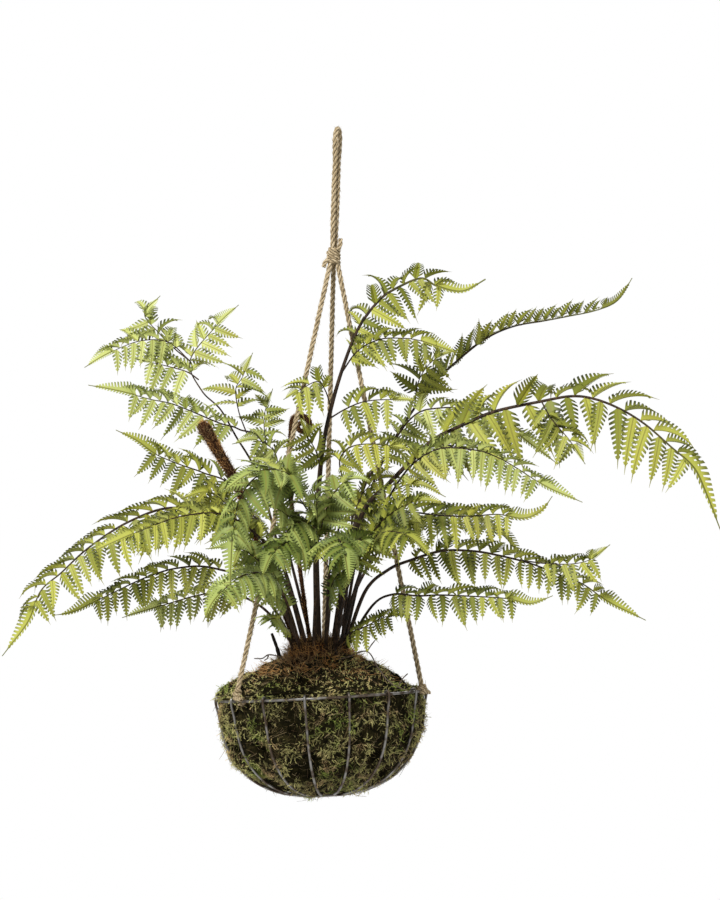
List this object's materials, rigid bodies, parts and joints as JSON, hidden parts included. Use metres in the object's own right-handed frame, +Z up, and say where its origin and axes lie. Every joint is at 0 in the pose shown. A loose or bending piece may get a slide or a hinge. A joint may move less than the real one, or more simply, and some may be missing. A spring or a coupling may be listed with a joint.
{
  "type": "hanging moss basket with a fern",
  "caption": "Half-round wire basket packed and mounded with moss, holding a leafy arching fern, hung by jute ropes from a wrapped knot and a rope loop.",
  "frame": {"origin": "where a hook bears, under the top of the rope loop's eye", "axes": "+Z up along the plumb line that it hangs on, the front at -Y, +X to the right seen from the front"},
  "size_m": [0.6996, 0.502, 0.6718],
  "materials": {
    "jute_rope": "twisted jute, straw brown, dry and hairy",
    "steel_wire": "dull galvanised wire with faint weathering",
    "moss": "matted sheet moss, olive brown with brighter green sprigs",
    "soil": "dark damp potting mix and roots",
    "crown_fur": "rust brown fern fur, soft and fibrous",
    "fern_leaf": "yellow-green leaflets, satin, paler below",
    "fern_stem": "near-black wiry stem",
    "dry_twig": "dry dull brown twig"
  },
  "bodies": {
    "root": {"hanging_loop": "jute_rope", "top_knot": "jute_rope", "rope_left": "jute_rope", "rope_right": "jute_rope", "rope_back": "jute_rope", "rim_knot_left": "jute_rope", "rim_knot_right": "jute_rope", "rim_knot_back": "jute_rope", "rim_ring": "steel_wire", "rib_01": "steel_wire", "rib_02": "steel_wire", "rib_03": "steel_wire", "rib_04": "steel_wire", "rib_05": "steel_wire", "rib_06": "steel_wire", "rib_07": "steel_wire", "rib_08": "steel_wire", "rib_09": "steel_wire", "rib_10": "steel_wire", "rib_11": "steel_wire", "rib_12": "steel_wire", "rib_13": "steel_wire", "rib_14": "steel_wire", "rib_15": "steel_wire", "base_ring": "steel_wire", "moss_lining": "moss", "root_ball": "soil", "moss_mound": "moss", "crown": "crown_fur", "frond_upper_left": "fern_leaf", "frond_high_left": "fern_leaf", "frond_middle_left": "fern_leaf", "frond_long_left": "fern_leaf", "frond_front_left": "fern_leaf", "frond_low_left": "fern_leaf", "frond_lowest_left": "fern_leaf", "frond_front_high": "fern_leaf", "frond_front_low": "fern_leaf", "frond_small_left": "fern_leaf", "frond_front": "fern_leaf", "frond_front_right": "fern_leaf", "frond_tall": "fern_leaf", "frond_middle": "fern_leaf", "frond_upper_right": "fern_leaf", "frond_inner_right": "fern_leaf", "frond_long_right": "fern_leaf", "frond_mid_right": "fern_leaf", "frond_level_right": "fern_leaf", "frond_low_right": "fern_leaf", "frond_lowest_right": "fern_leaf", "frond_small_front": "fern_leaf", "frond_back_left": "fern_leaf", "frond_back": "fern_leaf", "frond_back_right": "fern_leaf", "crozier_club": "crown_fur", "crozier_coil": "crown_fur", "dead_stub": "fern_stem", "twig_left": "dry_twig", "twig_right": "dry_twig"}
  },
  "joints": []
}
